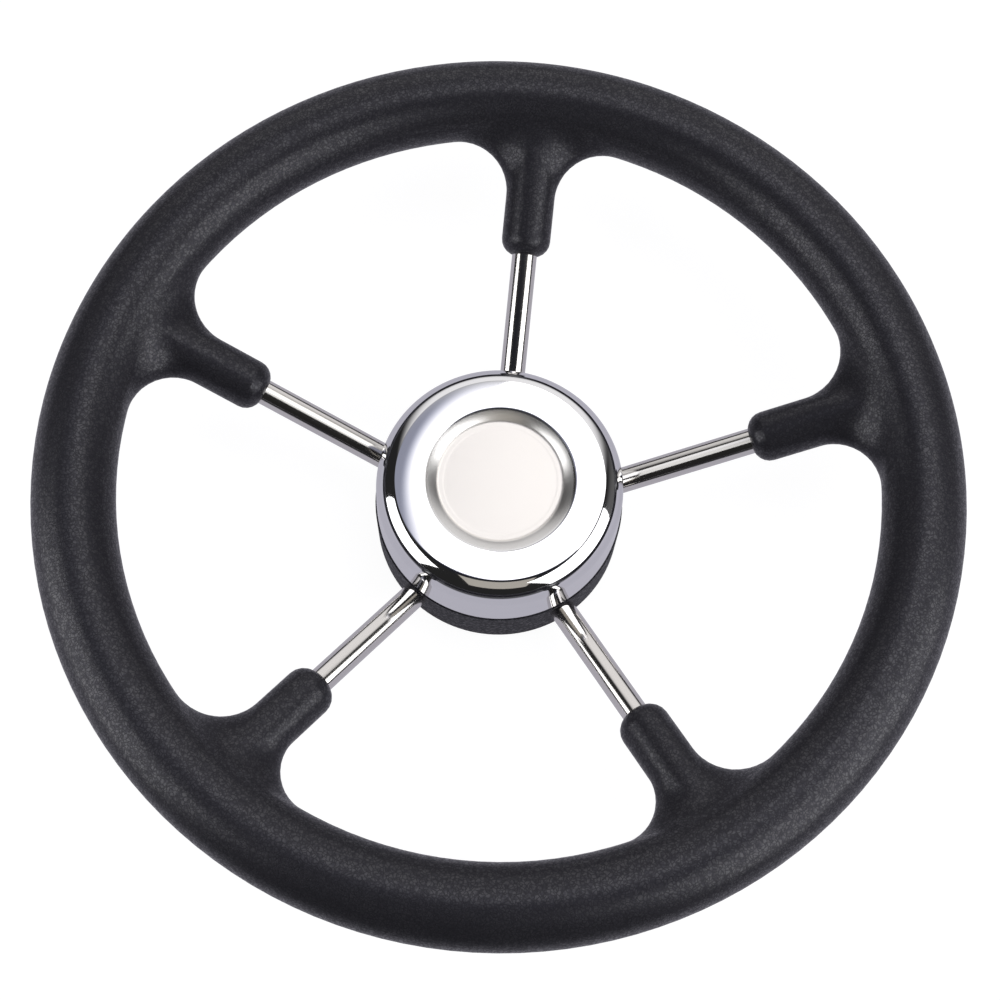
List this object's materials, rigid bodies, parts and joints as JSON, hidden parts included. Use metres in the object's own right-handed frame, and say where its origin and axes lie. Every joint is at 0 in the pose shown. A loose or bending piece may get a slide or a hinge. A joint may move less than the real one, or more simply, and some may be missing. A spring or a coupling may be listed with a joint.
{
  "type": "boat steering wheel",
  "caption": "Stainless boat steering wheel with dished rod spokes, a moulded foam grip and a polished centre cap on a black hub base.",
  "frame": {"origin": "centre of the boss's back face, on the wheel's axis", "axes": "+Z along the wheel's axis towards the driver, +Y along the first spoke"},
  "size_m": [0.343, 0.343, 0.0707],
  "materials": {
    "grip_foam": "semi-matt charcoal integral-skin foam with a fine leather grain",
    "base_foam": "matt charcoal foam with a coarser grain",
    "polished_rod": "polished stainless rod",
    "polished_cap": "mirror-polished stainless sheet, turned satin in the recess",
    "plain_steel": "turned or bent stainless steel, not polished",
    "seal_rubber": "plain black rubber"
  },
  "bodies": {
    "root": {"rim_grip": "grip_foam", "rim_ring": "plain_steel", "spoke_1": "polished_rod", "spoke_2": "polished_rod", "spoke_3": "polished_rod", "spoke_4": "polished_rod", "spoke_5": "polished_rod", "hub_boss": "plain_steel", "hub_base": "base_foam", "cap_seal_ring": "seal_rubber", "centre_cap": "polished_cap"}
  },
  "joints": []
}
